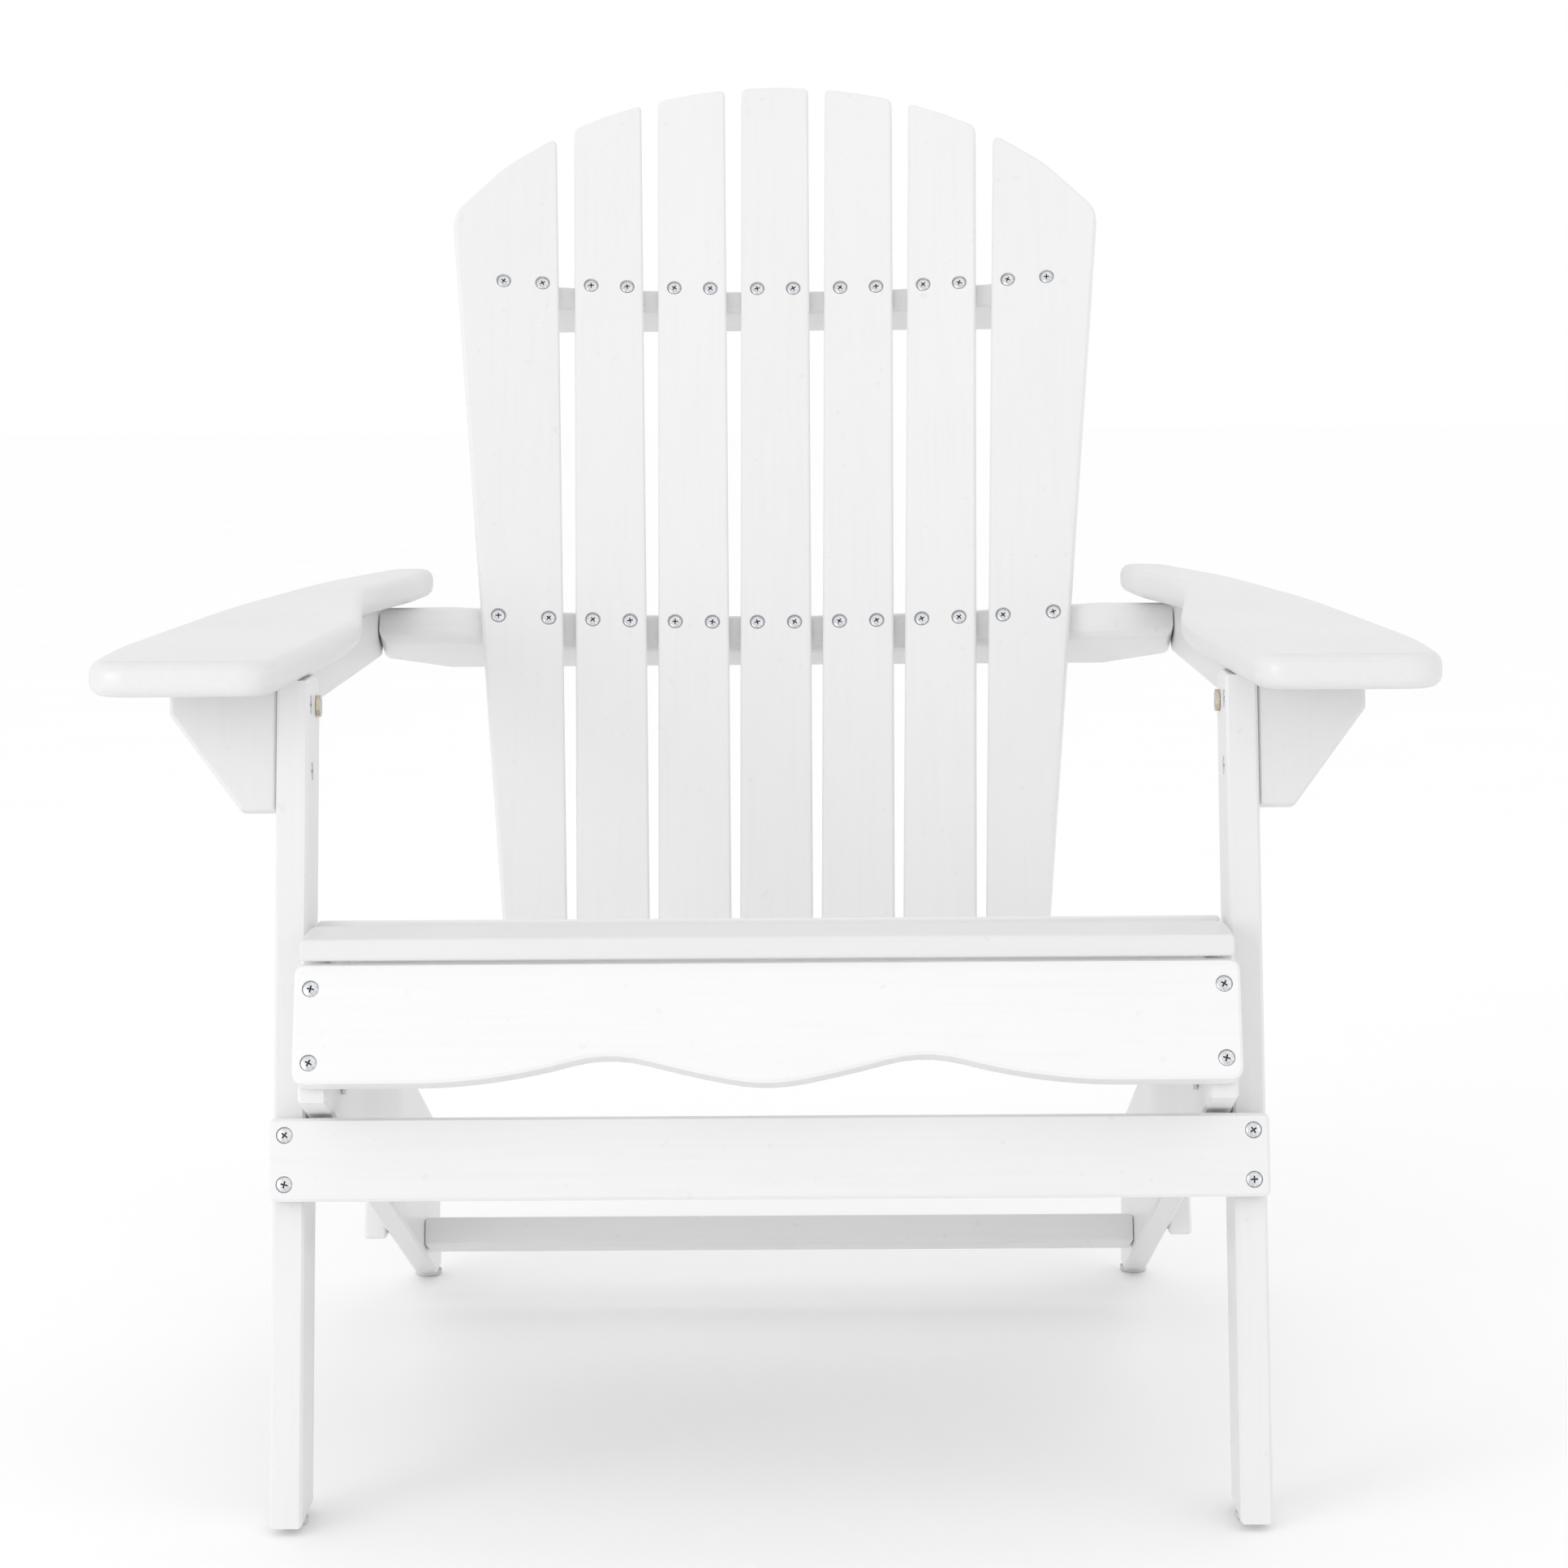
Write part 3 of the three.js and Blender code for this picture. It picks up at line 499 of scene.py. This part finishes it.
# ---- Floor, light and camera ----
floor_mesh = bmesh.new()
bmesh.ops.create_grid(floor_mesh, x_segments=1, y_segments=1, size=30)
floor_nodes = Nodes("floor_paint")
floor_cloud = floor_nodes.add("ShaderNodeTexNoise", Scale=3.0, Detail=3.0, Roughness=0.5)
floor_nodes.link(floor_nodes.add("ShaderNodeTexCoord").outputs["Object"], floor_cloud.inputs["Vector"])
floor_tone = floor_nodes.ramp(floor_cloud.outputs["Fac"], [(0.3, grey(0.985)), (0.7, grey(0.995))])
floor_nodes.link(floor_tone, floor_nodes.bsdf.inputs["Base Color"])
floor_nodes.bsdf.inputs["Roughness"].default_value = 0.8
floor = mesh_object("floor", floor_mesh, [floor_nodes.mat])

world = bpy.data.worlds.new("studio")
bpy.context.scene.world = world
world.use_nodes = True
world.node_tree.nodes["Background"].inputs["Color"].default_value = (1, 1, 1, 1)
world.node_tree.nodes["Background"].inputs["Strength"].default_value = 1.0


def area_light(name, place, target, size, power):
    data = bpy.data.lights.new(name, "AREA")
    data.shape = "RECTANGLE"
    data.size, data.size_y = size
    data.energy = power
    obj = bpy.data.objects.new(name, data)
    obj.location = place
    obj.rotation_mode = "QUATERNION"
    obj.rotation_quaternion = (Vector(target) - Vector(place)).to_track_quat("-Z", "Y")
    bpy.context.scene.collection.objects.link(obj)


area_light("key", (-2.6, -3.0, 1.1), (0, 0, 0.4), (1.8, 1.8), 28)
area_light("fill", (2.6, -2.6, 1.2), (0, 0, 0.4), (2.2, 2.2), 4)

YAW, PITCH, ROLL = -0.0088, 0.1102, 0.0075
SENSOR_WIDTH = 36
FOCAL_LENGTH = 4824.25 / 1932  # in sensor widths
EYE = Vector((0.0288, -2.0995 + SHIFT, 0.6488))
ahead = Vector((math.sin(YAW) * math.cos(PITCH), math.cos(YAW) * math.cos(PITCH), -math.sin(PITCH)))
right = Vector((math.cos(YAW), -math.sin(YAW), 0))
down = ahead.cross(right)
image_right = math.cos(ROLL) * right + math.sin(ROLL) * down
image_down = -math.sin(ROLL) * right + math.cos(ROLL) * down
lens = bpy.data.cameras.new("camera")
lens.sensor_width = SENSOR_WIDTH
lens.lens = SENSOR_WIDTH * FOCAL_LENGTH
lens.clip_start = 0.05
camera = bpy.data.objects.new("camera", lens)
turn = Matrix((image_right, -image_down, -ahead)).transposed().to_4x4()
camera.matrix_world = Matrix.Translation(EYE) @ turn
bpy.context.scene.collection.objects.link(camera)
bpy.context.scene.camera = camera
bpy.context.scene.view_settings.view_transform = "Standard"
